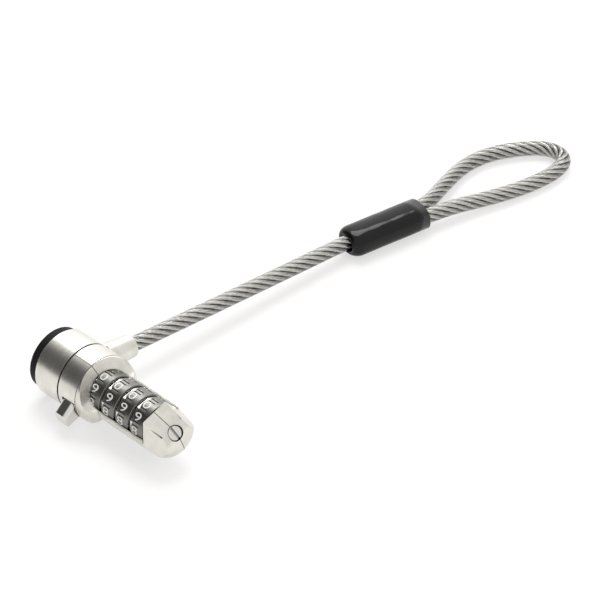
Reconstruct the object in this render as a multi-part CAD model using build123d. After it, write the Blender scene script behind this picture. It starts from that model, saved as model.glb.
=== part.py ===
from build123d import *
import os
from math import cos, pi, radians, sin, tan

# A laptop cable lock: a push-button lock head with four number wheels, on a swivel barrel that carries
# a vinyl-coated wire rope with a crimped loop. Millimetres. The row frame has its origin on the lock's
# axis at the rubber pad's face, +X along the axis to the nose, +Y out along the cable and +Z up.
# The lock head is drawn in its own frame (X axis, Y across the arm, Z out of the arm's top) and is then
# rolled about X.

HEAD_ROLL = 21.0            # degrees from the arm's top to vertical
SWIVEL_ROLL = -3.15         # degrees the swivel barrel and its cable boss point below +Y

# Face pad, plate and swivel
PAD_R, PAD_HOLE_R = 9.25, 4.0
PAD_FACE, PAD_END = 1.3, 2.65
PLATE_R = 8.5
BARREL_R = 10.0
SWIVEL_START, SWIVEL_END = 2.75, 12.25
JOURNAL_R, TUBE_BORE_R = 7.4, 5.6
SPINDLE_R = 1.4
RUNNING_GAP = 0.06

# Cable boss on the swivel barrel
BOSS_X = 9.05
BOSS_BASE_R, BOSS_END_R = 4.15, 3.35
BOSS_START, BOSS_END = 8.6, 19.9
SADDLE_R, SADDLE_REAR, SADDLE_HALF_H = 10.5, 4.9, 6.6
STOP_R, STOP_START, STOP_END = 2.75, 9.6, 15.0

# Collar, dome, arm and nose
COLLAR_START, CAVITY_START, CAVITY_END = 12.6, 13.6, 19.35
COLLAR_EDGE = 19.9
CAVITY_R = 8.2
BAY_START, WHEEL_SLOT, WHEEL_COUNT = 20.4, 5.9, 4
BAY_END = BAY_START + WHEEL_SLOT * WHEEL_COUNT
BAY_R = 6.72
ARM_HALF_W, ARM_HALF_H = 7.12, 7.1
ARM_CORNER_R, ARM_CORNER_UP = 7.4, 0.6      # the corners' radius and the height of its centre
RAIL_HALF_H = 1.5
DOME_END, DOME_END_R = 26.2, 6.9
NOSE_END, NOSE_SIDE_ROUND = 51.9, 4.0
NOSE_TOP, NOSE_SLOPE_END = 6.7, (48.9, 4.15)
NOSE_FACE_TOP, NOSE_FACE_LOW = -0.6, -4.4   # heights of the flat end face
BAND_HALF_W, BAND_TAPER = 4.35, 10.3    # half the top band's mean width, and its edges' lean in degrees
NOSE_BEVEL = (0.27, 0.921, 0.389)       # the direction that the nose's side bevels face
BEVEL_OUT = 6.4             # the bevels' distance from the axis at the wheels' end
SEAM = 0.09                 # half the gap between the two housing halves

# Number wheels
WHEEL_R, HUB_R, WHEEL_BORE_R = 6.65, 6.2, 3.9
WHEEL_W, RIM_W, WHEEL_GAP = 5.6, 1.3, 0.05
DETENT_R, DETENT_COUNT = 5.1, 10
DIGIT_TURN = 6.0            # degrees the digits at rest stand past the arm's top, towards +Y
WASHER_T = 0.2

# Button, crank and code shaft
BUTTON_X, BUTTON_W, BUTTON_H = 16.9, 4.7, 5.7
BUTTON_OUT, BUTTON_IN = 13.95, 7.2
BUTTON_SLOPE = (9.7, 1.15)  # where the sloped top starts, and its height above the axis at the end
BUTTON_ROUND, SLOT_GAP = 1.4, 0.15
CRANK_R, PEG_R, DISC_R = 2.5, 0.65, 3.6
BUTTON_TRAVEL = 2 * CRANK_R * sin(radians(45))
SHAFT_TRAVEL = 1.2
SHAFT_R, TIP_R = 1.6, 1.0
SLEEVE_R, SLEEVE_BORE_R = 2.4, 1.7

# Reset screw: the middle of its face, and its tilt up from the axis
SCREW_AT, SCREW_TILT, SCREW_R = (50.45, 1.95), 33.0, 2.0

# Cable, crimp and sleeve
CABLE_D = 4.5
CABLE_R = CABLE_D / 2
FLOOR_Z = -BARREL_R
SLEEVE_W, SLEEVE_H, SLEEVE_L = 11.0, 8.3, 26.6
SLEEVE_TURN = 7.5           # degrees the sleeve is turned from the cable's line, towards +X
SLEEVE_EXIT = (12.6, 129.2)
SLEEVE_Z = FLOOR_Z + SLEEVE_H / 2
LANE = 2.3                  # each strand's distance from the sleeve's middle
FERRULE_W, FERRULE_H = 9.9, 6.2
FERRULE_FROM, FERRULE_TO = 2.4, 9.6     # distances back from the sleeve's loop end

# The cable's route: straight from the boss into the sleeve, round the loop and back into the crimp
ROUTE = [
    (9.05, 14.98, -0.82),
    (9.05, 104.5, SLEEVE_Z),
    (9.05, 121.0, SLEEVE_Z),
    (10.8, 133.5, SLEEVE_Z),
    (5.6, 146.0, -7.0),
    (1.8, 157.5, -7.6),
    (2.0, 167.5, -7.7),
    (6.0, 176.5, -7.7),
    (11.2, 183.1, -7.7),
    (16.8, 184.3, -7.7),
    (20.7, 182.1, -7.7),
    (22.6, 176.9, -7.7),
    (22.8, 169.5, -7.7),
    (21.5, 160.0, -7.6),
    (18.8, 149.0, -7.1),
    (15.85, 136.0, SLEEVE_Z),
    (14.1, 123.2, SLEEVE_Z),
]


# ---------------------------------------------------------------- helpers

BOTTOM = (Align.CENTER, Align.CENTER, Align.MIN)


def rod(x0, x1, r):
    """A cylinder along the lock's axis from x0 to x1."""
    return Pos(x0, 0, 0) * Rot(0, 90, 0) * Cylinder(r, x1 - x0, align=BOTTOM)


def ring(x0, x1, r_out, r_in):
    """A tube along the lock's axis."""
    return rod(x0, x1, r_out) - rod(x0 - 1, x1 + 1, r_in)


def block(x, y, z):
    """A box from its low and high limits on each axis."""
    size = (x[1] - x[0], y[1] - y[0], z[1] - z[0])
    centre = (sum(x) / 2, sum(y) / 2, sum(z) / 2)
    return Pos(*centre) * Box(*size)


def cross_pin(x, y0, y1, z, r):
    """A cylinder across the arm, along the head frame's Y."""
    return Pos(x, (y0 + y1) / 2, z) * Rot(90, 0, 0) * Cylinder(r, y1 - y0)


def around_x(shape, degrees):
    return Rot(degrees, 0, 0) * shape


def screw_rod(d0, d1, r):
    """A cylinder on the reset screw's tilted axis, from depth d0 to d1 below the screw's face."""
    return Pos(SCREW_AT[0], 0, SCREW_AT[1]) * Rot(0, -SCREW_TILT, 0) * rod(-d1, -d0, r)


def coil(radius, wire_r, length, turns):
    """A round-wire compression spring standing on the origin along +Z."""
    path = Helix(pitch=length / turns, height=length, radius=radius)
    section = Plane(path @ 0, z_dir=path % 0) * Circle(wire_r)
    return sweep(section, path=path, is_frenet=True)


# ---------------------------------------------------------------- face and swivel

def rubber_pad():
    """A rubber cup that covers the rear plate, with a hole for the T-bar and its pins."""
    return ring(0, PAD_END, PAD_R, PAD_HOLE_R) - rod(PAD_FACE, PAD_END + 1, PLATE_R)


def pin_blanks(x0, x1):
    """The two flat pins either side of the T-bar's neck."""
    return [block((x0, x1), (s * 2.5 - 0.75, s * 2.5 + 0.75), (-1.3, 1.3)) for s in (-1, 1)]


def plate_screws():
    """Two countersunk screws through the rear plate into the core tube's wall."""
    screws = []
    for side in (-1, 1):
        shank = rod(PAD_FACE + 0.5, 5.0, 0.6)
        head = rod(PAD_FACE, PAD_FACE + 0.5, 1.0)
        screws.append(Pos(0, 0, side * 6.5) * (shank + head))
    return screws


def rear_plate():
    plate = rod(PAD_FACE, PAD_END, PLATE_R) - rod(0, 4, SPINDLE_R + RUNNING_GAP)
    for cut in pin_blanks(0, 4) + plate_screws():
        plate -= cut
    return plate


def core_tube():
    """The hub that the swivel barrel turns on; the housing halves grip its front groove."""
    tube = rod(PAD_END, CAVITY_START, JOURNAL_R) - rod(0, COLLAR_START, TUBE_BORE_R)
    tube -= rod(0, 20, SPINDLE_R + RUNNING_GAP)
    tube -= ring(12.9, 13.3, JOURNAL_R + 1, 6.9)
    for screw in plate_screws():
        tube -= screw
    return tube


def swivel_washer():
    return ring(SWIVEL_END + 0.05, COLLAR_START - 0.05, 9.6, JOURNAL_R + 0.03)


def along_cable(y0, y1, r0, r1=None):
    """A cylinder or cone about the boss's axis."""
    place = Pos(BOSS_X, y0, 0) * Rot(-90, 0, 0)
    if r1 is None:
        return place * Cylinder(r0, y1 - y0, align=BOTTOM)
    return place * Cone(r0, r1, y1 - y0, align=BOTTOM)


def swivel_barrel():
    """The rear barrel with its raised saddle and the tapered boss, which clears the collar."""
    barrel = rod(SWIVEL_START, SWIVEL_END, BARREL_R)
    barrel = chamfer(barrel.edges().filter_by(GeomType.CIRCLE).group_by(Axis.X)[0], 0.35)
    saddle = rod(SADDLE_REAR, SWIVEL_END, SADDLE_R)
    saddle &= block((0, 20), (5, 12), (-SADDLE_HALF_H, SADDLE_HALF_H))
    boss = along_cable(BOSS_START, BOSS_END, BOSS_BASE_R, BOSS_END_R)
    boss = fillet(boss.edges().group_by(Axis.Y)[-1], 0.45)
    body = barrel + saddle + (boss - rod(SWIVEL_END, 20, BARREL_R + 0.1))
    body -= rod(0, 20, JOURNAL_R + RUNNING_GAP)
    body -= along_cable(5, STOP_END, STOP_R)
    body -= along_cable(STOP_END - 0.1, BOSS_END + 1, CABLE_R + 0.4)
    return body


def swage_stop():
    """The steel stop pressed on the rope's end, seated inside the boss."""
    return along_cable(STOP_START, STOP_END, STOP_R)


# ---------------------------------------------------------------- housing

def collar_and_dome():
    """The collar and its convex dome, turned about the axis."""
    with BuildSketch(Plane.XZ) as sketch:
        with BuildLine():
            Polyline((COLLAR_START, 0), (COLLAR_START, BARREL_R - 0.2), (COLLAR_START + 0.2, BARREL_R),
                     (COLLAR_EDGE, BARREL_R))
            ThreePointArc((COLLAR_EDGE, BARREL_R), (23.5, 9.25), (DOME_END, DOME_END_R))
            Polyline((DOME_END, DOME_END_R), (DOME_END, 0), (COLLAR_START, 0))
        make_face()
    return revolve(sketch.sketch, Axis.X)


def nose_outline():
    """The arm's side view: the nose slopes down from the wheels and rounds over to an upright end face."""
    slope_x, slope_z = NOSE_SLOPE_END
    heel = ARM_HALF_H + NOSE_FACE_LOW
    tip = NOSE_END - heel
    diagonal = heel * sin(radians(45))
    with BuildSketch(Plane.XZ) as sketch:
        with BuildLine():
            Polyline((tip, -ARM_HALF_H), (COLLAR_EDGE, -ARM_HALF_H), (COLLAR_EDGE, ARM_HALF_H),
                     (BAY_END, ARM_HALF_H), (BAY_END, NOSE_TOP), (slope_x, slope_z))
            ThreePointArc((slope_x, slope_z), (NOSE_END - 0.95, 2.25), (NOSE_END, NOSE_FACE_TOP))
            Line((NOSE_END, NOSE_FACE_TOP), (NOSE_END, NOSE_FACE_LOW))
            ThreePointArc((NOSE_END, NOSE_FACE_LOW), (tip + diagonal, NOSE_FACE_LOW - diagonal),
                          (tip, -ARM_HALF_H))
        make_face()
    return sketch.sketch


def arm_bar():
    """The arm's full form: a rounded square bar whose nose is rounded over in side view and in plan."""
    slab = extrude(nose_outline(), amount=ARM_HALF_W, both=True)
    turned = rod(COLLAR_EDGE, NOSE_END, ARM_CORNER_R)
    turned = fillet(turned.edges().group_by(Axis.X)[-1], NOSE_SIDE_ROUND)
    return slab & Pos(0, 0, ARM_CORNER_UP) * turned


def wheel_window():
    """What is cut away above a side rail: a steep face at the collar's edge that curves to the rail."""
    with BuildSketch(Plane.XZ) as sketch:
        with BuildLine():
            Polyline((19.1, 12), (COLLAR_EDGE, BARREL_R), (21.25, 6.6))
            Spline((21.25, 6.6), (25.9, RAIL_HALF_H), tangents=[(0.38, -0.92), (1, 0)])
            Polyline((25.9, RAIL_HALF_H), (BAY_END, RAIL_HALF_H), (BAY_END, 12), (19.1, 12))
        make_face()
    return extrude(sketch.sketch, amount=15, both=True)


def band_grooves():
    """Fine grooves along both edges of the nose's top band, which narrows towards the tip."""
    core = extrude(offset(nose_outline(), amount=-0.4), amount=8, both=True)
    grooves = []
    for side in (-1, 1):
        lean = Rot(0, 0, -side * BAND_TAPER)
        strip = Pos(BAY_END + 2.6, side * BAND_HALF_W, 5) * lean * Box(6.6, 0.34, 10)
        grooves.append(strip - core)
    return grooves


def nose_bevels():
    """What the nose loses above each side: a flat bevel from the top band's edge down to the side."""
    lean, across, up = NOSE_BEVEL
    cuts = []
    for side in (-1, 1):
        origin = (BAY_END + 0.5, side * BEVEL_OUT * across, BEVEL_OUT * up)
        plane = Plane(origin=origin, z_dir=(lean, side * across, up))
        cuts.append((plane * Box(40, 40, 12, align=BOTTOM)) & block((BAY_END, 60), (-15, 15), (-8, 12)))
    return cuts


def edge_groove():
    """The fine line round the collar's front edge, where the dome starts."""
    return ring(COLLAR_EDGE - 0.2, COLLAR_EDGE + 0.02, BARREL_R + 1, BARREL_R - 0.25)


def housing():
    """Collar, dome, side rails and nose as one form, before it is split in two."""
    body = collar_and_dome() + arm_bar()
    body -= rod(BAY_START, BAY_END, BAY_R)
    window = wheel_window()
    body -= window
    body -= mirror(window, about=Plane.XY)
    body -= edge_groove()
    for cut in nose_bevels() + band_grooves():
        body -= cut
    body -= rod(COLLAR_START - 1, CAVITY_START, JOURNAL_R + 0.03)
    body += ring(12.95, 13.25, JOURNAL_R + 0.5, 6.95)
    body -= rod(CAVITY_START, CAVITY_END, CAVITY_R)
    body -= rod(CAVITY_END - 1, BAY_START + 1, SHAFT_R + RUNNING_GAP)
    body -= rod(19.6, 45.6, SLEEVE_R + 0.02)
    body -= rod(45, 46.15, SLEEVE_R - 0.5)
    body -= screw_rod(-3, 1.35, SCREW_R + 0.3)
    body -= screw_rod(1.3, 4.3, 1.16)
    body -= screw_rod(3.2, 4.2, 2.0)
    body -= button_slot()
    for dowel in housing_dowels():
        body -= dowel
    return body


def button_slot():
    """The button's opening in the collar."""
    half_w, half_h = BUTTON_W / 2 + SLOT_GAP, BUTTON_H / 2 + SLOT_GAP
    return block((BUTTON_X - half_w, BUTTON_X + half_w), (-12, -5), (-half_h, half_h))


def housing_half(whole, side):
    """The half on one side of the arm's middle plane."""
    low, high = (SEAM, 12) if side > 0 else (-12, -SEAM)
    return whole & block((0, 60), (low, high), (-12, 12))


def housing_dowels():
    """Four dowels across the split, two in the dome's wall and two in the nose."""
    places = [(19.95, 5.2), (19.95, -5.2), (46.0, 4.6), (46.0, -4.6)]
    return [cross_pin(x, -2.5, 2.5, z, 0.4) for x, z in places]


# ---------------------------------------------------------------- T-bar, button and code shaft

def t_bar():
    """The T-shaped head that enters the security slot, on its spindle."""
    head = block((-2.95, -1.45), (-1.35, 1.35), (-3.4, 3.4)) & rod(-3, -1, 3.4)
    head = chamfer(head.edges().group_by(Axis.X)[0], 0.3)
    return head + rod(-1.5, 14.8, SPINDLE_R)


def crank_disc():
    """The disc on the spindle's end; its peg rests 45 degrees back from the arm's top."""
    angle = radians(45)
    peg = Pos(0, -CRANK_R * sin(angle), CRANK_R * cos(angle)) * rod(14.7, 16.15, PEG_R)
    return rod(13.8, 14.8, DISC_R) - rod(13, 16, SPINDLE_R) + peg


def long_top_edges(body):
    """The edges along both sides of the button's flat and sloped top."""
    low = Vector(0, -BUTTON_OUT - 0.1, BUTTON_SLOPE[1] - 0.1)
    return [edge for edge in body.edges()
            if edge.center().Z > low.Z and abs(edge.tangent_at(0).X) < 0.1
            and abs(edge.tangent_at(0).Y) > 0.5]


def push_button():
    """The rectangular button: its top slopes down to the end, and its long top edges are rounded over."""
    half_w, half_h = BUTTON_W / 2, BUTTON_H / 2
    slope_start, end_height = BUTTON_SLOPE
    with BuildSketch(Plane.YZ.offset(BUTTON_X - half_w)) as sketch:
        with BuildLine():
            Polyline((-BUTTON_IN, -half_h), (-BUTTON_OUT, -half_h), (-BUTTON_OUT, end_height),
                     (-slope_start, half_h), (-BUTTON_IN, half_h), (-BUTTON_IN, -half_h))
        make_face()
    body = extrude(sketch.sketch, amount=BUTTON_W)
    body = fillet(body.edges().filter_by(Axis.Y).group_by(Axis.Z)[0], 0.4)
    body = fillet(long_top_edges(body), BUTTON_ROUND)
    return chamfer(body.edges().group_by(Axis.Y)[0], 0.2)


def wedge():
    """The ramp on the slide that shifts the code shaft forward as the button goes in."""
    low, high = -TIP_R - BUTTON_TRAVEL, TIP_R
    rise = SHAFT_TRAVEL / BUTTON_TRAVEL * (high - low)
    with BuildSketch(Plane.XY) as sketch:
        with BuildLine():
            Polyline((16.1, low), (16.35 + rise, low), (16.35, high), (16.1, high), (16.1, low))
        make_face()
    return extrude(sketch.sketch, amount=1.2, both=True)


def button_slide():
    """The flanged yoke behind the button, with the peg's slot and the wedge."""
    plate = block((15.0, 16.2), (-BUTTON_IN, 3.4), (-3, 3))
    flange = block((15.0, 18.6), (-BUTTON_IN, -BUTTON_IN + 0.7), (-3.8, 3.8))
    middle = -CRANK_R * sin(radians(45))
    slot = block((14, 17), (middle - PEG_R - 0.1, middle + PEG_R + 0.1), (0.9, 4))
    return plate - slot + flange + wedge()


def button_spring():
    spring = coil(0.8, 0.17, 4.2, 5)
    return Pos(15.9, 3.62, 0) * Rot(-90, 0, 0) * spring


def wheel_start(index):
    """Where the wheel's rear face stands on the axis."""
    return BAY_START + WHEEL_GAP + index * WHEEL_SLOT


def code_shaft():
    """The shaft with one lug for each wheel, bevelled at the rear to ride on the wedge."""
    shaft = rod(19.0, 44.0, SHAFT_R) + rod(16.3, 19.1, TIP_R)
    slope = SHAFT_TRAVEL / BUTTON_TRAVEL
    with BuildSketch(Plane.XY) as sketch:
        with BuildLine():
            Polyline((15, -2), (16.41 + slope * (TIP_R + 2), -2), (16.41 - slope, 2), (15, 2), (15, -2))
        make_face()
    shaft -= extrude(sketch.sketch, amount=3, both=True)
    for index in range(WHEEL_COUNT):
        rear = wheel_start(index) + 1.6
        shaft += block((rear, rear + 0.9), (-0.5, 0.5), (1.0, 3.0))
    return shaft


def wheel_sleeve():
    """The slotted tube that the wheels turn on, open along the top for the shaft's lugs."""
    tube = ring(19.6, 45.0, SLEEVE_R, SLEEVE_BORE_R)
    return tube - block((BAY_START + 1, BAY_END - 0.6), (-0.6, 0.6), (0, 3))


def shaft_spring():
    return Pos(44.25, 0, 0) * Rot(0, 90, 0) * coil(1.15, 0.17, 1.8, 3)


# ---------------------------------------------------------------- number wheels

def detent_track(x):
    """The ring groove and its ten pockets in a wheel's front face."""
    groove = Pos(x, 0, 0) * Rot(0, 90, 0) * Torus(DETENT_R, 0.35)
    pockets = [around_x(Pos(x, 0, DETENT_R) * Sphere(0.45), 360 / DETENT_COUNT * k)
               for k in range(DETENT_COUNT)]
    return [groove] + pockets


def wheel_hub(x):
    """The metal wheel: a bevelled ten-sided rim at the rear and a plain drum under the numbers."""
    rim = Pos(x, 0, 0) * Rot(0, 90, 0) * Rot(0, 0, 18) * extrude(
        RegularPolygon(WHEEL_R, DETENT_COUNT), amount=RIM_W)
    rim = around_x(rim, -DIGIT_TURN)
    rim = chamfer(rim.edges().group_by(Axis.X)[0], 0.35)
    hub = rim + rod(x + RIM_W - 0.1, x + WHEEL_W, HUB_R)
    hub -= rod(x - 1, x + WHEEL_W + 1, WHEEL_BORE_R)
    for cut in detent_track(x + WHEEL_W):
        hub -= cut
    return hub


def number_ring(x):
    """The black ring that carries the digits, with a shallow notch between neighbours."""
    band = ring(x + RIM_W, x + WHEEL_W, WHEEL_R, HUB_R)
    for k in range(DETENT_COUNT):
        notch = Pos(0, 0, WHEEL_R + 0.25) * rod(x, x + WHEEL_W + 1, 0.4)
        band -= around_x(notch, 360 / DETENT_COUNT * (k + 0.5) - DIGIT_TURN)
    return band


def code_ring(x):
    """The brass ring inside a wheel; a lug passes its web only through a gate."""
    body = ring(x + 0.15, x + 5.45, WHEEL_BORE_R - 0.03, SLEEVE_R + 0.05)
    body -= rod(x, x + 2.6, 3.1)
    body -= rod(x + 3.6, x + 6, 3.1)
    body -= block((x + 2, x + 4), (-0.65, 0.65), (-3.1, 3.1))
    return body


def detent_washer(x):
    """The thin fixed washer ahead of a wheel, with the bump that clicks in the pockets."""
    bump = Pos(x - 0.2, 0, DETENT_R) * Rot(0, 90, 0) * Cone(0.12, 0.3, 0.3, align=BOTTOM)
    return ring(x, x + WASHER_T, 5.9, SLEEVE_R + 0.02) + bump


# ---------------------------------------------------------------- reset screw

def reset_screw():
    """The slotted screw in the nose that frees the wheels for a new number."""
    slot = Pos(SCREW_AT[0], 0, SCREW_AT[1]) * Rot(0, -SCREW_TILT, 0) * Box(1.4, 0.75, 6)
    stem = screw_rod(1.2, 4.1, 1.1) - (screw_rod(3.45, 3.75, 2) - screw_rod(3, 4, 0.8))
    return screw_rod(0, 1.3, SCREW_R) - slot + stem


def reset_clip():
    return screw_rod(3.47, 3.73, 1.8) - screw_rod(3, 4, 0.82)


# ---------------------------------------------------------------- cable, crimp and sleeve

def route_radii(points):
    """Each corner's arc radius: 0.45 of its shorter run over the tangent of half the turn."""
    radii = []
    for a, b, c in zip(points, points[1:], points[2:]):
        run_in, run_out = Vector(*b) - Vector(*a), Vector(*c) - Vector(*b)
        half_turn = radians(run_in.get_angle(run_out)) / 2
        radii.append(0.45 * min(run_in.length, run_out.length) / tan(half_turn))
    return radii


def cable():
    radii = route_radii(ROUTE)
    path = FilletPolyline(*ROUTE, radius=radii)
    tube = sweep(Plane(path @ 0, z_dir=path % 0) * Circle(CABLE_R), path=path)
    print("cable radii", [round(r, 1) for r in radii])
    print("cable length %.1f, volume %.1f, section x length %.1f"
          % (path.length, tube.volume, pi * CABLE_R ** 2 * path.length))
    return tube


def sleeve_place(shape):
    """From the sleeve's own frame (+Y to the loop, origin at the loop end) to its place."""
    return Pos(*SLEEVE_EXIT, SLEEVE_Z) * Rot(0, 0, -SLEEVE_TURN) * shape


def oval(width, height, y0, y1):
    """A flat-sided oval bar along the sleeve's length."""
    section = Plane.XZ.offset(-y0) * SlotOverall(width, height)
    return extrude(section, amount=-(y1 - y0))


def lane_bores(radius, y0, y1):
    """The two round passages beside each other."""
    return [Pos(s * LANE, y0, 0) * Rot(-90, 0, 0) * Cylinder(radius, y1 - y0, align=BOTTOM)
            for s in (-1, 1)]


def crimp_ferrule():
    """The oval metal ferrule pressed round both strands."""
    body = oval(FERRULE_W - 0.04, FERRULE_H - 0.04, -FERRULE_TO, -FERRULE_FROM)
    for bore in lane_bores(CABLE_R + 0.15, -20, 1):
        body -= bore
    return sleeve_place(body)


def sleeve_cover():
    """The glossy oval sleeve over the crimp, open at both ends for the cable."""
    body = oval(SLEEVE_W, SLEEVE_H, -SLEEVE_L, 0)
    body = fillet(body.edges().group_by(Axis.Y)[-1], 1.9)
    body = fillet(body.edges().group_by(Axis.Y)[0], 1.9)
    body -= oval(FERRULE_W, FERRULE_H, -SLEEVE_L + 2.2, -2.2)
    body -= oval(2 * LANE + 5.0, 5.0, -3, 1)
    body -= oval(6.2, 5.4, -SLEEVE_L - 1, -SLEEVE_L + 3)
    return sleeve_place(body)


# ---------------------------------------------------------------- the assembly

def head_nodes():
    """Everything that is drawn in the head's own frame."""
    whole = housing()
    nodes = {
        "rubber_pad": rubber_pad(),
        "rear_plate": rear_plate(),
        "plate_screws": plate_screws(),
        "anti_rotation_pins": pin_blanks(-1.2, PAD_END),
        "core_tube": core_tube(),
        "swivel_washer": swivel_washer(),
        "housing_left": housing_half(whole, -1),
        "housing_right": housing_half(whole, 1),
        "housing_dowels": housing_dowels(),
        "t_bar": t_bar(),
        "crank_disc": crank_disc(),
        "push_button": push_button(),
        "button_slide": button_slide(),
        "button_spring": button_spring(),
        "code_shaft": code_shaft(),
        "wheel_sleeve": wheel_sleeve(),
        "shaft_spring": shaft_spring(),
        "reset_screw": reset_screw(),
        "reset_clip": reset_clip(),
    }
    for index in range(WHEEL_COUNT):
        x = wheel_start(index)
        number = index + 1
        nodes[f"wheel_hub_{number}"] = wheel_hub(x)
        nodes[f"number_ring_{number}"] = number_ring(x)
        nodes[f"code_ring_{number}"] = code_ring(x)
        nodes[f"detent_washer_{number}"] = detent_washer(x + WHEEL_W + WHEEL_GAP)
    return nodes


def as_node(shape):
    """One shape for a node: a single solid, or a group of separate solids."""
    if isinstance(shape, list):
        return Compound(children=[part.solid() for part in shape])
    return shape


def rolled(shape):
    """From the head's own frame to the row frame."""
    if isinstance(shape, list):
        return [around_x(part, HEAD_ROLL) for part in shape]
    return around_x(shape, HEAD_ROLL)


def all_nodes():
    nodes = {name: rolled(shape) for name, shape in head_nodes().items()}
    nodes["swivel_barrel"] = around_x(swivel_barrel(), SWIVEL_ROLL)
    nodes["swage_stop"] = around_x(swage_stop(), SWIVEL_ROLL)
    nodes["cable"] = cable()
    nodes["crimp_ferrule"] = crimp_ferrule()
    nodes["sleeve_cover"] = sleeve_cover()
    return nodes


os.makedirs("parts", exist_ok=True)
for node_name, node_shape in all_nodes().items():
    export_step(as_node(node_shape), f"parts/{node_name}.step")
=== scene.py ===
from math import cos, pi, radians, sin

import bpy
from mathutils import Matrix, Vector, noise


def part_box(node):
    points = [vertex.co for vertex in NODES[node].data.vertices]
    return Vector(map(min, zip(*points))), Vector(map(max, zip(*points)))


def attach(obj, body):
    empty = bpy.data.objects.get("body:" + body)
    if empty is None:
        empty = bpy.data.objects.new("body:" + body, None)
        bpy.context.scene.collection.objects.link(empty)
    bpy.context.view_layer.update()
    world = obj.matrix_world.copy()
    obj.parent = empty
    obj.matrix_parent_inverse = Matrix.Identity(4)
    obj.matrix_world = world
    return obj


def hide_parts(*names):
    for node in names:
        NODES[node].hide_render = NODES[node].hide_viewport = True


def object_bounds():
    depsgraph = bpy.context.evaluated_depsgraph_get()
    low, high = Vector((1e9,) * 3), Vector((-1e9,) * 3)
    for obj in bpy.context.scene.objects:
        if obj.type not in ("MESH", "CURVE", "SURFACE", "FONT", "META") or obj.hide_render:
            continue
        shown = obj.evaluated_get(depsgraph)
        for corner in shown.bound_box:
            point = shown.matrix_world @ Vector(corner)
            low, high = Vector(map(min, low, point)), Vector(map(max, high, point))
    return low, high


# A laptop cable lock: a satin nickel head with four number wheels, on a swivel barrel that carries a
# clear-coated wire rope with a crimped loop. Metres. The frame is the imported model's: the lock's axis is
# X, the cable leaves along +Y and the floor is at the barrel's lowest line.

MM = 0.001
HEAD_ROLL = radians(21)         # the arm's top leans this far from vertical, towards -Y
DIGIT_TURN = radians(6)         # the digits at rest stand this far past the arm's top, towards +Y

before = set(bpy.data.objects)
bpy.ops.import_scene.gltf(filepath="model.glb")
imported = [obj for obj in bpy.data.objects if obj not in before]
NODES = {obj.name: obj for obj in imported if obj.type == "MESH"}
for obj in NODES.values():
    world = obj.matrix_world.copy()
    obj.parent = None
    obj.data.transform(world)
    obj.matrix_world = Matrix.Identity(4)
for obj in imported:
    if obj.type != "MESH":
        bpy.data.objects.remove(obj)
CAD_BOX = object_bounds()
FLOOR_Z = CAD_BOX[0][2]


# ---------------------------------------------------------------- camera

def make_camera():
    azimuth, elevation = radians(46.837), radians(35.4475)
    back = Vector((sin(azimuth) * cos(elevation), -cos(azimuth) * cos(elevation), sin(elevation)))
    data = bpy.data.cameras.new("camera")
    data.lens = 252
    data.sensor_width = 36
    data.clip_start = 0.01
    data.clip_end = 50
    camera = bpy.data.objects.new("camera", data)
    camera.location = (0.731275, -0.592957, 0.687865)
    camera.rotation_euler = (-back).to_track_quat("-Z", "Y").to_euler()
    bpy.context.scene.collection.objects.link(camera)
    bpy.context.scene.camera = camera


# ---------------------------------------------------------------- mesh helpers

def add_object(name, data, body):
    piece = bpy.data.objects.new(name, data)
    bpy.context.scene.collection.objects.link(piece)
    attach(piece, body)
    return piece


def mesh_from(name, verts, faces, smooth=True):
    mesh = bpy.data.meshes.new(name)
    mesh.from_pydata([tuple(v) for v in verts], [], faces)
    mesh.validate()
    for polygon in mesh.polygons:
        polygon.use_smooth = smooth
    mesh.update()
    return mesh


def grid_faces(rows, columns, start=0):
    """Quads between rings of points; each ring closes on itself."""
    faces = []
    for row in range(rows - 1):
        for column in range(columns):
            after = (column + 1) % columns
            low, high = start + row * columns, start + (row + 1) * columns
            faces.append((low + column, low + after, high + after, high + column))
    return faces


# ---------------------------------------------------------------- materials

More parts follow.
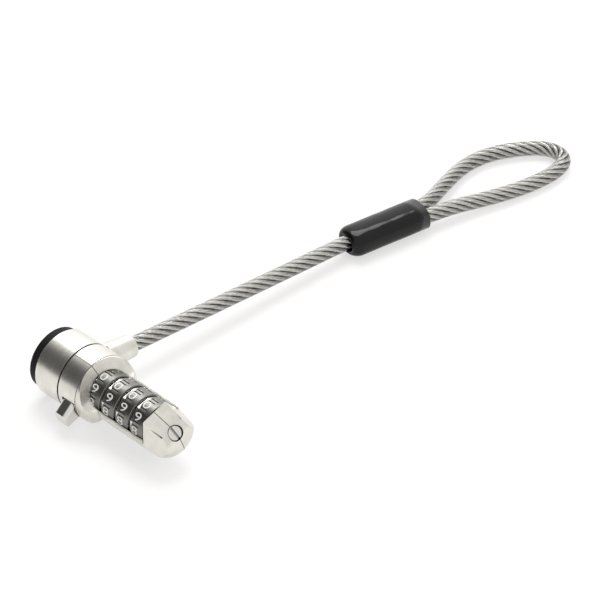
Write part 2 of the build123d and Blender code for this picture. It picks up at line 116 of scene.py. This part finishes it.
class Paint:
    """A material with a Principled shader, and short ways to add its nodes."""

    def __init__(self, name, **values):
        self.material = bpy.data.materials.new(name)
        self.material.use_nodes = True
        self.tree = self.material.node_tree
        self.shader = self.tree.nodes["Principled BSDF"]
        for key, value in values.items():
            self.shader.inputs[key.replace("_", " ")].default_value = value

    def node(self, kind, **values):
        made = self.tree.nodes.new("ShaderNode" + kind)
        for key, value in values.items():
            setattr(made, key, value)
        return made

    def link(self, source, target):
        self.tree.links.new(source, target)

    def place(self, stretch=(1, 1, 1)):
        """Object coordinates in millimetres, stretched."""
        coordinates = self.node("TexCoord")
        mapping = self.node("Mapping")
        mapping.inputs["Scale"].default_value = [s / MM for s in stretch]
        self.link(coordinates.outputs["Object"], mapping.inputs["Vector"])
        return mapping.outputs["Vector"]

    def around_axis(self, along, around, out):
        """Coordinates that follow a turned part: along X, around X and out from X."""
        split = self.node("SeparateXYZ")
        self.link(self.place(), split.inputs[0])
        angle = self.node("Math", operation="ARCTAN2")
        self.link(split.outputs["Z"], angle.inputs[0])
        self.link(split.outputs["Y"], angle.inputs[1])
        flat = self.node("CombineXYZ")
        self.link(split.outputs["Y"], flat.inputs["Y"])
        self.link(split.outputs["Z"], flat.inputs["Z"])
        length = self.node("VectorMath", operation="LENGTH")
        self.link(flat.outputs[0], length.inputs[0])
        joined = self.node("CombineXYZ")
        for source, factor, target in ((split.outputs["X"], along, "X"), (angle.outputs[0], around, "Y"),
                                       (length.outputs["Value"], out, "Z")):
            scale = self.node("Math", operation="MULTIPLY")
            scale.inputs[1].default_value = factor
            self.link(source, scale.inputs[0])
            self.link(scale.outputs[0], joined.inputs[target])
        return joined.outputs[0]

    def noise(self, vector, scale=1.0, detail=3.0, roughness=0.5):
        made = self.node("TexNoise")
        made.inputs["Scale"].default_value = scale
        made.inputs["Detail"].default_value = detail
        made.inputs["Roughness"].default_value = roughness
        self.link(vector, made.inputs["Vector"])
        return made.outputs["Fac"]

    def ramp(self, factor, stops):
        made = self.node("ValToRGB")
        elements = made.color_ramp.elements
        while len(elements) < len(stops):
            elements.new(0.5)
        for element, (position, colour) in zip(elements, stops):
            element.position = position
            element.color = colour if len(colour) == 4 else (*colour, 1)
        self.link(factor, made.inputs["Fac"])
        return made.outputs["Color"]

    def levels(self, factor, low, high, start=0.3, end=0.7):
        made = self.node("MapRange")
        made.inputs["From Min"].default_value = start
        made.inputs["From Max"].default_value = end
        made.inputs["To Min"].default_value = low
        made.inputs["To Max"].default_value = high
        self.link(factor, made.inputs["Value"])
        return made.outputs["Result"]

    def bump(self, height, strength, distance, under=None):
        made = self.node("Bump")
        made.inputs["Strength"].default_value = strength
        made.inputs["Distance"].default_value = distance * MM
        self.link(height, made.inputs["Height"])
        if under is not None:
            self.link(under, made.inputs["Normal"])
        self.link(made.outputs["Normal"], self.shader.inputs["Normal"])
        return made.outputs["Normal"]

    def soft_edges(self, radius):
        """Normals rounded over sharp edges, as a cast or tumbled part has them."""
        made = self.node("Bevel", samples=4)
        made.inputs["Radius"].default_value = radius * MM
        return made.outputs["Normal"]

    def crevices(self, source, distance, depth):
        """The colour, darker where the surface closes in on itself: painted shade in the creases, read from
        ambient occlusion.
        """
        open_sky = self.node("AmbientOcclusion", samples=8)
        open_sky.inputs["Distance"].default_value = distance * MM
        shade = self.levels(open_sky.outputs["AO"], depth, 1.0, 0.35, 0.95)
        mix = self.node("VectorMath", operation="SCALE")
        self.link(source, mix.inputs[0])
        self.link(shade, mix.inputs["Scale"])
        return mix.outputs[0]

    def colour(self, source):
        self.link(source, self.shader.inputs["Base Color"])

    def roughness(self, source):
        self.link(source, self.shader.inputs["Roughness"])


def satin_metal(name, dark, light, rough, brush=0.05, edges=0.12):
    """Cast metal with a satin plating: fine brush lines round the axis, and soft clouds in the gloss."""
    paint = Paint(name, Metallic=1.0)
    lines = paint.noise(paint.around_axis(9, 0.9, 9), 1.0, 4, 0.65)
    clouds = paint.noise(paint.place(), 0.35, 2)
    grain = paint.noise(paint.place(), 14, 2, 0.6)
    # Base colour darkened in creases and seams by ambient occlusion: painted shade.
    paint.colour(paint.crevices(paint.ramp(clouds, [(0.3, dark), (0.7, light)]), 0.9, 0.12))
    mix = paint.node("Math", operation="MULTIPLY_ADD")
    mix.inputs[1].default_value = 0.6
    paint.link(lines, mix.inputs[0])
    paint.link(grain, mix.inputs[2])
    paint.roughness(paint.levels(mix.outputs[0], rough - 0.05, rough + 0.07, 0.5, 1.1))
    paint.bump(mix.outputs[0], brush, 0.05, paint.soft_edges(edges))
    return paint.material


def polished_metal(name, colour, rough, edges=0.1):
    """Bright plated metal with faint hairlines."""
    paint = Paint(name, Metallic=1.0)
    hairlines = paint.noise(paint.place((14, 14, 1.5)), 1.0, 3)
    dimmer = [c * 0.86 for c in colour]
    # Base colour darkened in creases and seams by ambient occlusion: painted shade.
    paint.colour(paint.crevices(paint.ramp(hairlines, [(0.35, dimmer), (0.65, colour)]), 0.7, 0.1))
    paint.roughness(paint.levels(hairlines, rough, rough + 0.08))
    paint.bump(hairlines, 0.03, 0.03, paint.soft_edges(edges))
    return paint.material


def rubber(name):
    """Matt moulded rubber with a fine grain."""
    paint = Paint(name, Roughness=0.6)
    paint.shader.inputs["Specular IOR Level"].default_value = 0.16
    grain = paint.noise(paint.place(), 7, 4, 0.6)
    paint.colour(paint.ramp(grain, [(0.3, (0.004, 0.004, 0.004)), (0.7, (0.009, 0.009, 0.009))]))
    paint.roughness(paint.levels(grain, 0.5, 0.68))
    paint.bump(grain, 0.15, 0.08, paint.soft_edges(0.15))
    return paint.material


def gloss_black(name, rough, sheen=0.5, low=0.003, high=0.006):
    """Shiny black plastic that is a little uneven, as shrunk tubing is."""
    paint = Paint(name, Roughness=rough)
    paint.shader.inputs["Specular IOR Level"].default_value = sheen
    waves = paint.noise(paint.place((1, 0.35, 1)), 0.5, 2)
    specks = paint.noise(paint.place(), 9, 3)
    paint.colour(paint.ramp(specks, [(0.3, (low, low, low)), (0.7, (high, high, high))]))
    paint.roughness(paint.levels(specks, rough, rough + 0.06))
    paint.bump(waves, 0.12, 0.3)
    return paint.material


def wheel_black(name):
    """Black nickel in the wheel's cells: dark metal with a soft sheen."""
    paint = Paint(name, Metallic=1.0)
    grain = paint.noise(paint.place(), 11, 3)
    paint.colour(paint.ramp(grain, [(0.3, (0.17, 0.17, 0.16)), (0.7, (0.24, 0.235, 0.22))]))
    paint.roughness(paint.levels(grain, 0.28, 0.38))
    paint.bump(grain, 0.06, 0.05)
    return paint.material


def digit_white(name):
    paint = Paint(name, Roughness=0.45)
    grain = paint.noise(paint.place(), 12, 3)
    paint.colour(paint.ramp(grain, [(0.3, (0.68, 0.68, 0.66)), (0.7, (0.86, 0.86, 0.84))]))
    paint.bump(grain, 0.05, 0.05)
    return paint.material


def rope_steel(name, dark, light):
    """Drawn steel wire, a little dull from the drawing."""
    paint = Paint(name, Metallic=1.0)
    marks = paint.noise(paint.place((3, 0.6, 3)), 1.0, 3)
    paint.colour(paint.ramp(marks, [(0.3, dark), (0.7, light)]))
    paint.roughness(paint.levels(marks, 0.28, 0.42))
    return paint.material


def clear_vinyl(name):
    """The rope's clear coat, with a faint haze."""
    paint = Paint(name, Roughness=0.04, IOR=1.45)
    paint.shader.inputs["Transmission Weight"].default_value = 1.0
    haze = paint.noise(paint.place((1, 0.3, 1)), 0.8, 2)
    paint.colour(paint.ramp(haze, [(0.3, (0.90, 0.91, 0.91)), (0.7, (0.97, 0.97, 0.97))]))
    paint.roughness(paint.levels(haze, 0.02, 0.06))
    return paint.material


# ---------------------------------------------------------------- cable

# The route's corners, in millimetres: straight from the boss into the sleeve, round the loop and back
ROUTE = [
    (9.05, 14.98, -0.82),
    (9.05, 104.5, -5.85),
    (9.05, 121.0, -5.85),
    (10.8, 133.5, -5.85),
    (5.6, 146.0, -7.0),
    (1.8, 157.5, -7.6),
    (2.0, 167.5, -7.7),
    (6.0, 176.5, -7.7),
    (11.2, 183.1, -7.7),
    (16.8, 184.3, -7.7),
    (20.7, 182.1, -7.7),
    (22.6, 176.9, -7.7),
    (22.8, 169.5, -7.7),
    (21.5, 160.0, -7.6),
    (18.8, 149.0, -7.1),
    (15.85, 136.0, -5.85),
    (14.1, 123.2, -5.85),
]
CABLE_R = 2.25
ROPE_LAY, WIRE_LAY = 20.0, -9.0     # millimetres for one turn of a strand, and of a wire in its strand
STRAND_OFF, WIRE_OFF, WIRE_R = 1.28, 0.34, 0.18
WIRE_SIDES, CORE_SIDES = 6, 8
CORE_R = 0.62
STRANDS, WIRES = 6, 6


def route_curve(name, resolution):
    curve = bpy.data.curves.new(name, "CURVE")
    curve.dimensions = "3D"
    curve.resolution_u = resolution
    spline = curve.splines.new("NURBS")
    spline.points.add(len(ROUTE) - 1)
    for point, place in zip(spline.points, ROUTE):
        point.co = (*(c * MM for c in place), 1)
    spline.order_u = 3
    spline.use_endpoint_u = True
    return curve


def route_line(spacing):
    """Points read from the route's spline, no closer than spacing."""
    curve = route_curve("route_line", 220)
    holder = bpy.data.objects.new("route_line", curve)
    mesh = bpy.data.meshes.new_from_object(holder)
    points = [vertex.co.copy() for vertex in mesh.vertices]
    bpy.data.objects.remove(holder)
    line = [points[0]]
    for point in points:
        if (point - line[-1]).length >= spacing:
            line.append(point)
    return line


def moving_frames(line):
    """At each point: the distance along the line, and two directions across it that don't twist."""
    side = Vector((1, 0, 0))
    frames, distance = [], 0.0
    for index, point in enumerate(line):
        before, after = line[max(index - 1, 0)], line[min(index + 1, len(line) - 1)]
        tangent = (after - before).normalized()
        side = (side - tangent * side.dot(tangent)).normalized()
        if index:
            distance += (point - line[index - 1]).length
        frames.append((point, distance / MM, side.copy(), tangent.cross(side)))
    return frames


def wire_rings(frames, strand_angle, wire_angle):
    """Rings of points round one wire of one strand."""
    points = []
    for centre, distance, side, up in frames:
        turn = strand_angle + 2 * pi * distance / ROPE_LAY
        out = side * cos(turn) + up * sin(turn)
        around = up * cos(turn) - side * sin(turn)
        twist = wire_angle + 2 * pi * distance / WIRE_LAY
        middle = centre + (out * (STRAND_OFF + WIRE_OFF * cos(twist)) + around * WIRE_OFF * sin(twist)) * MM
        for k in range(WIRE_SIDES):
            angle = 2 * pi * k / WIRE_SIDES
            points.append(middle + (out * cos(angle) + around * sin(angle)) * WIRE_R * MM)
    return points


def core_rings(frames):
    points = []
    for centre, distance, side, up in frames:
        for k in range(CORE_SIDES):
            angle = 2 * pi * k / CORE_SIDES
            points.append(centre + (side * cos(angle) + up * sin(angle)) * CORE_R * MM)
    return points


def make_rope():
    """Six strands of six wires round a core, laid right-handed."""
    frames = moving_frames(route_line(0.00045))
    verts, faces = [], []
    for strand in range(STRANDS):
        for wire in range(WIRES):
            start = len(verts)
            verts += wire_rings(frames, 2 * pi * strand / STRANDS, 2 * pi * wire / WIRES)
            faces += grid_faces(len(frames), WIRE_SIDES, start)
    rope = mesh_from("rope_strands", verts, faces)
    rope.materials.append(rope_steel("rope_steel", (0.62, 0.61, 0.58), (0.88, 0.87, 0.83)))
    core = mesh_from("rope_core", core_rings(frames), grid_faces(len(frames), CORE_SIDES))
    # The core is coloured near black as painted shade: it stands for the shade in the gaps between the
    # strands, not the steel's own colour.
    core.materials.append(rope_steel("core_painted_shade", (0.05, 0.05, 0.05), (0.09, 0.09, 0.085)))
    return (add_object("rope_strands", rope, "swivel"),
            add_object("rope_core", core, "swivel"))


def make_cable(sleeve):
    curve = route_curve("cable_coat", 24)
    curve.bevel_depth = CABLE_R * MM
    curve.bevel_resolution = 8
    curve.use_fill_caps = True
    curve.materials.append(clear_vinyl("clear_vinyl"))
    coat = add_object("cable_coat", curve, "swivel")
    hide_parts("cable")
    rope, core = make_rope()


# ---------------------------------------------------------------- sleeve

SLEEVE_TURN = radians(7.5)
SLEEVE_W, SLEEVE_H, SLEEVE_L = 11.0, 8.3, 26.6
REAR_ROUND = 3.2
RIPPLE = 0.05            # how uneven the sleeve is; it only ever lies inside its full size


SLEEVE_SIDES = 48
SOFTNESS = 2.35             # the section's superellipse power: 2 is an ellipse, more is squarer


def oval_points(width, height):
    """A soft rectangle: flattened top and bottom, round ends."""
    points = []
    power = 2 / SOFTNESS
    for k in range(SLEEVE_SIDES):
        angle = 2 * pi * k / SLEEVE_SIDES
        c, s = cos(angle), sin(angle)
        x = abs(c) ** power * (1 if c >= 0 else -1) * width / 2
        z = abs(s) ** power * (1 if s >= 0 else -1) * height / 2
        points.append((x, z))
    return points


def sleeve_stations():
    """Distances from the middle along the sleeve, with the section's width and height at each."""
    half = SLEEVE_L / 2
    stations = [(-half + 3.0, 4.9, 4.8), (-half + 0.9, 4.9, 4.8), (-half + 0.25, 5.2, 5.0)]
    for k in range(7):
        angle = radians(15 * k)
        stations.append((-half + REAR_ROUND * (1 - cos(angle)), SLEEVE_W - 4.6 * (1 - sin(angle)),
                         SLEEVE_H - 2.7 * (1 - sin(angle))))
    for k in range(1, 12):
        stations.append((-half + REAR_ROUND + (SLEEVE_L - REAR_ROUND - 2.0) * k / 12, SLEEVE_W, SLEEVE_H))
    for k in range(7):
        angle = radians(15 * k)
        stations.append((half - 2.0 * (1 - cos(angle)), SLEEVE_W - 0.9 * sin(angle),
                         SLEEVE_H - 2.6 * sin(angle)))
    return stations + [(half - 0.25, 9.9, 5.4), (half - 0.9, 9.6, 5.1), (half - 3.0, 9.6, 5.1)]


def make_sleeve():
    low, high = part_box("sleeve_cover")
    centre = (low + high) / 2
    turn = Matrix.Rotation(-SLEEVE_TURN, 4, "Z")
    verts = []
    stations = sleeve_stations()
    for y, width, height in stations:
        for x, z in oval_points(width, height):
            ripple = RIPPLE * (noise.noise(Vector((x * 0.3, y * 0.35, z * 0.3))) - 1)
            local = Vector((x * (1 + ripple / 4), y, z * (1 + ripple / 3))) * MM
            verts.append(centre + turn @ local)
    mesh = mesh_from("crimp_sleeve", verts, grid_faces(len(stations), SLEEVE_SIDES))
    mesh.materials.append(gloss_black("sleeve_black", 0.06, 0.26))
    sleeve = add_object("crimp_sleeve", mesh, "swivel")
    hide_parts("sleeve_cover")
    return sleeve


# ---------------------------------------------------------------- number wheels

CELLS = 10
BAND_R, GROOVE_R = 6.66, 6.36
BAND_IN = 6.1
PAD_HALF, RIB_HALF = 11.5, 3.2       # degrees: half a cell's pad, and half a rib
GROOVE_FROM, GROOVE_TO = 1.25, 3.9   # millimetres from the wheel's rear face
DIGIT_X, DIGIT_W, DIGIT_H = 2.38, 2.25, 2.4
BAR_W = 0.42                         # the digit 1 is a plain bar


def head_point(x, radius, angle):
    """A point in metres on a wheel; the angle is from the middle of the digit 0 towards +Y."""
    turned = angle + DIGIT_TURN - HEAD_ROLL
    return Vector((x * MM, radius * sin(turned) * MM, radius * cos(turned) * MM))


def band_height(inside, x):
    """The band's radius, by the angle from the cell's middle and the distance from the rear face."""
    in_groove = PAD_HALF + 0.6 < inside < 18 - RIB_HALF - 0.6
    if in_groove and GROOVE_FROM < x < GROOVE_TO:
        return GROOVE_R
    if x > 5.3:
        return BAND_R - 0.25
    return BAND_R


def band_rear(inside):
    """Where the black starts: round behind each digit, and further forward at the ribs."""
    return 0.78 + 0.62 * min(1.0, (inside / 15.5) ** 4)


def make_band(index, rear):
    """The black band: raised pads for the digits, with a grey rib in a groove between neighbours."""
    inside_steps = [0, 3, 6, 9, PAD_HALF, PAD_HALF + 0.7, 14.1, 14.7, 16.0, 17.2, 18.0]
    angles = []
    for cell in range(CELLS):
        cell_steps = [-s for s in reversed(inside_steps[1:])] + inside_steps[:-1]
        angles += [(cell * 36 + step, abs(step)) for step in cell_steps]
    steps = [0.0, 0.06, GROOVE_FROM, GROOVE_FROM + 0.06, 2.5, GROOVE_TO - 0.06, GROOVE_TO, 4.6, 5.3, 5.45]
    verts, faces, ribs = [], [], []
    for row, x in enumerate(steps):
        for angle, inside in angles:
            place = max(x, band_rear(inside)) if row > 1 else band_rear(inside) + x
            radius = BAND_IN if row == 0 else band_height(inside, x)
            verts.append(head_point(rear + place, radius, radians(angle)))
    columns = len(angles)
    faces = grid_faces(len(steps), columns)
    mesh = mesh_from(f"number_band_{index + 1}", verts, faces, smooth=False)
    return mesh, angles, steps


def glyph_mesh(text):
    """A digit's outline as a thin flat mesh, centred on the origin and one unit high and wide."""
    curve = bpy.data.curves.new("glyph", "FONT")
    curve.body = text
    curve.size = 1.0
    curve.offset = -0.006
    curve.extrude = 0.5
    curve.resolution_u = 6
    holder = bpy.data.objects.new("glyph", curve)
    mesh = bpy.data.meshes.new_from_object(holder)
    bpy.data.objects.remove(holder)
    places = [vertex.co.copy() for vertex in mesh.vertices]
    low = Vector([min(p[i] for p in places) for i in range(3)])
    high = Vector([max(p[i] for p in places) for i in range(3)])
    middle = (low + high) / 2
    points = [((p.x - middle.x) / (high.x - low.x), (p.y - middle.y) / (high.y - low.y), p.z)
              for p in places]
    return points, [tuple(polygon.vertices) for polygon in mesh.polygons]


GLYPHS = {digit: glyph_mesh("I" if digit == 1 else str(digit)) for digit in range(CELLS)}


def make_digits(index, rear):
    """Ten raised white digits that follow the wheel's curve."""
    verts, faces = [], []
    for digit, (points, polygons) in GLYPHS.items():
        start = len(verts)
        width = BAR_W if digit == 1 else DIGIT_W
        for x, y, z in points:
            angle = radians(36 * digit) + y * DIGIT_H / BAND_R
            radius = BAND_R + 0.015 + 0.05 * z
            verts.append(head_point(rear + DIGIT_X + x * width, radius, angle))
        faces += [tuple(start + v for v in polygon) for polygon in polygons]
    return mesh_from(f"digits_{index + 1}", verts, faces, smooth=False)


def make_wheels(black, white, rib_metal):
    for index in range(4):
        node = f"number_ring_{index + 1}"
        body = f"wheel_{index + 1}"
        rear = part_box(f"wheel_hub_{index + 1}")[0].x / MM
        mesh, angles, steps = make_band(index, rear)
        mesh.materials.append(black)
        mesh.materials.append(rib_metal)
        columns = len(angles)
        for number, polygon in enumerate(mesh.polygons):
            row, column = divmod(number, columns)
            near = angles[column][1] + angles[(column + 1) % columns][1]
            if near / 2 > 14.9 and steps[row] < GROOVE_TO - 0.1:
                polygon.material_index = 1
        band = add_object(f"number_band_{index + 1}", mesh, body)
        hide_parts(node)
        digits = make_digits(index, rear)
        digits.materials.append(white)
        add_object(f"digits_{index + 1}", digits, body)


# ---------------------------------------------------------------- CAD nodes' finishes

def paint_nodes():
    nickel = satin_metal("satin_nickel", (0.66, 0.64, 0.59), (0.76, 0.74, 0.69), 0.27)
    wheel_metal = satin_metal("wheel_metal", (0.62, 0.60, 0.55), (0.74, 0.72, 0.67), 0.24)
    chrome = polished_metal("polished_chrome", (0.78, 0.76, 0.72), 0.10)
    steel = polished_metal("hard_steel", (0.56, 0.55, 0.53), 0.25)
    dark_steel = polished_metal("spring_steel", (0.40, 0.39, 0.37), 0.25)
    brass = polished_metal("brass", (0.78, 0.58, 0.30), 0.25)
    zinc = satin_metal("zinc_core", (0.42, 0.42, 0.41), (0.55, 0.55, 0.53), 0.4)
    washer = gloss_black("dark_washer", 0.35)
    pad = rubber("pad_rubber")
    finishes = {
        nickel: ["swivel_barrel", "housing_left", "housing_right"],
        chrome: ["push_button", "reset_screw"],
        steel: ["rear_plate", "plate_screws", "anti_rotation_pins", "t_bar", "crank_disc", "code_shaft",
                "wheel_sleeve", "housing_dowels", "button_slide"],
        dark_steel: ["button_spring", "shaft_spring", "reset_clip", "swage_stop", "crimp_ferrule"],
        zinc: ["core_tube"],
        washer: ["swivel_washer"],
        pad: ["rubber_pad"],
        brass: [],
        wheel_metal: [],
    }
    for number in range(1, 5):
        finishes[wheel_metal].append(f"wheel_hub_{number}")
        finishes[brass].append(f"code_ring_{number}")
        finishes[dark_steel].append(f"detent_washer_{number}")
    for material, names in finishes.items():
        for name in names:
            slots = NODES[name].data.materials
            slots.clear()
            slots.append(material)


# ---------------------------------------------------------------- floor, world and lights

def make_floor():
    """Pale paper that glows a little, so that the shadow on it is faint."""
    bpy.ops.mesh.primitive_plane_add(size=8, location=(0, 0, FLOOR_Z - 0.0002))
    floor = bpy.context.object
    floor.name = "floor"
    paint = Paint("floor_paper", Roughness=0.9)
    paint.shader.inputs["Specular IOR Level"].default_value = 0.1
    grain = paint.noise(paint.place(), 0.02, 2)
    paint.colour(paint.ramp(grain, [(0.3, (0.35, 0.35, 0.35)), (0.7, (0.37, 0.37, 0.37))]))
    paint.shader.inputs["Emission Color"].default_value = (1.0, 0.995, 0.985, 1)
    paint.shader.inputs["Emission Strength"].default_value = 0.62
    floor.data.materials.append(paint.material)


def make_world():
    """A bright studio, brightest behind the lock, with a dark side towards the front left."""
    world = bpy.data.worlds.new("studio")
    bpy.context.scene.world = world
    world.use_nodes = True
    tree = world.node_tree
    background = tree.nodes["Background"]
    direction = tree.nodes.new("ShaderNodeTexCoord")

    def lobe(towards, start, end, low, high):
        dot = tree.nodes.new("ShaderNodeVectorMath")
        dot.operation = "DOT_PRODUCT"
        dot.inputs[1].default_value = Vector(towards).normalized()
        tree.links.new(direction.outputs["Generated"], dot.inputs[0])
        shape = tree.nodes.new("ShaderNodeMapRange")
        shape.interpolation_type = "SMOOTHSTEP"
        shape.inputs["From Min"].default_value = start
        shape.inputs["From Max"].default_value = end
        shape.inputs["To Min"].default_value = low
        shape.inputs["To Max"].default_value = high
        tree.links.new(dot.outputs["Value"], shape.inputs["Value"])
        return shape.outputs["Result"]

    bright = lobe((-0.594, 0.696, 0.402), 0.65, 1.0, 0.90, 1.40)
    dark = lobe((-0.594, -0.659, 0.461), 0.58, 0.98, 1.0, 0.09)
    product = tree.nodes.new("ShaderNodeMath")
    product.operation = "MULTIPLY"
    tree.links.new(bright, product.inputs[0])
    tree.links.new(dark, product.inputs[1])
    tree.links.new(product.outputs[0], background.inputs["Strength"])
    background.inputs["Color"].default_value = (1.0, 0.995, 0.985, 1)


def area_light(name, place, size, power):
    data = bpy.data.lights.new(name, "AREA")
    data.shape = "DISK"
    data.size = size
    data.energy = power
    light = bpy.data.objects.new(name, data)
    light.location = place
    target = Vector((0.02, 0.06, 0.0))
    light.rotation_euler = (target - Vector(place)).to_track_quat("-Z", "Y").to_euler()
    bpy.context.scene.collection.objects.link(light)


make_camera()
make_cable(make_sleeve())
paint_nodes()
make_wheels(wheel_black("wheel_black"), digit_white("digit_white"),
            satin_metal("rib_metal", (0.24, 0.235, 0.22), (0.32, 0.31, 0.29), 0.36))
make_floor()
make_world()
area_light("top_softbox", (-0.3, 0.35, 0.9), 0.7, 6.0)
bpy.context.scene.view_settings.view_transform = "Standard"
